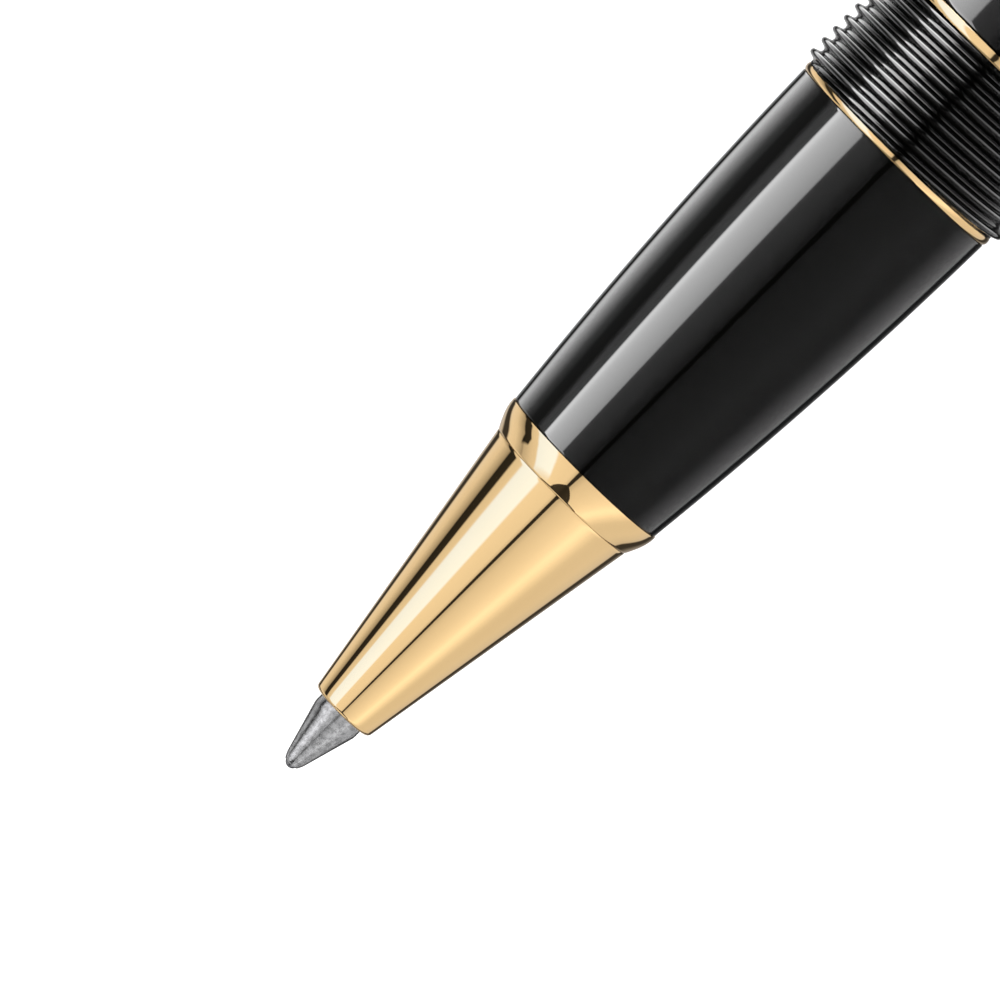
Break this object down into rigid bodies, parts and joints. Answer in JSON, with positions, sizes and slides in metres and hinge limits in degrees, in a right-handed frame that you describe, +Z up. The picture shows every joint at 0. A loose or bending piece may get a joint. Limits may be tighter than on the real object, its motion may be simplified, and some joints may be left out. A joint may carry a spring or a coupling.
{
  "type": "rollerball pen",
  "caption": "Screw-cap rollerball pen in black resin and gold plate, with its cap posted on the tail, a section that unscrews for the refill, and a spring clip.",
  "frame": {"origin": "the rolling ball's outer end, on the pen's axis", "axes": "+X along the pen from the writing tip to the tail, +Z up; the pen lies on its side with the clip turned down towards -Y"},
  "size_m": [0.162, 0.015, 0.0151],
  "materials": {
    "gold_plate": "polished gold plate",
    "black_resin": "polished deep black resin",
    "nickel_point": "turned nickel silver",
    "carbide_ball": "ground and polished",
    "black_polymer": "moulded satin",
    "white_polymer": "moulded satin",
    "ink_fibre": "ink-soaked fibre",
    "turned_brass": "machined",
    "spring_steel": "drawn wire"
  },
  "bodies": {
    "barrel": {"barrel": "black_resin", "barrel_ring": "gold_plate", "barrel_insert": "turned_brass", "refill_spring": "spring_steel", "tail_ring": "gold_plate", "tail_cap": "black_resin"},
    "refill": {"refill_point": "nickel_point", "point_holder": "black_polymer", "refill_tube": "white_polymer", "feed_rod": "ink_fibre", "ink_reservoir": "ink_fibre", "refill_plug": "black_polymer"},
    "section": {"nose_cone": "gold_plate", "collar_ring": "gold_plate", "grip_sleeve": "black_resin", "section_liner": "turned_brass", "section_ring": "gold_plate", "thread_collar": "black_resin"},
    "ball": {"refill_ball": "carbide_ball"},
    "cap": {"cap_shell": "black_resin", "cap_lip_ring": "gold_plate", "cap_band": "gold_plate", "inner_cap": "black_polymer", "clip_ring": "gold_plate", "finial": "black_resin", "finial_screw": "turned_brass"},
    "clip": {"clip": "gold_plate"}
  },
  "joints": [
    {"name": "refill_travel", "type": "slide", "parent": "barrel", "child": "refill", "axis": [-1, 0, 0], "range_m": [0, 0.006], "deforming": ["refill_spring"]},
    {"name": "section_turn", "type": "hinge", "parent": "refill", "child": "section", "pos_m": [0, 0, 0], "axis": [-1, 0, 0], "range_deg": [0, 2160]},
    {"name": "ball_roll", "type": "hinge", "parent": "refill", "child": "ball", "pos_m": [0.00035, 0, 0], "axis": [0, 1, 0], "continuous": true},
    {"name": "cap_pull", "type": "slide", "parent": "barrel", "child": "cap", "axis": [1, 0, 0], "range_m": [0, 0.03]},
    {"name": "clip_lift", "type": "hinge", "parent": "cap", "child": "clip", "pos_m": [0.154, -0.00507, -0.00525], "axis": [0, -0.7193, 0.6947], "range_deg": [0, 2], "stiffness_Nm_per_rad": 3}
  ],
  "couplings": [
    {"joint": "section_turn", "follows": "refill_travel", "rad_per_m": 6283.2}
  ]
}
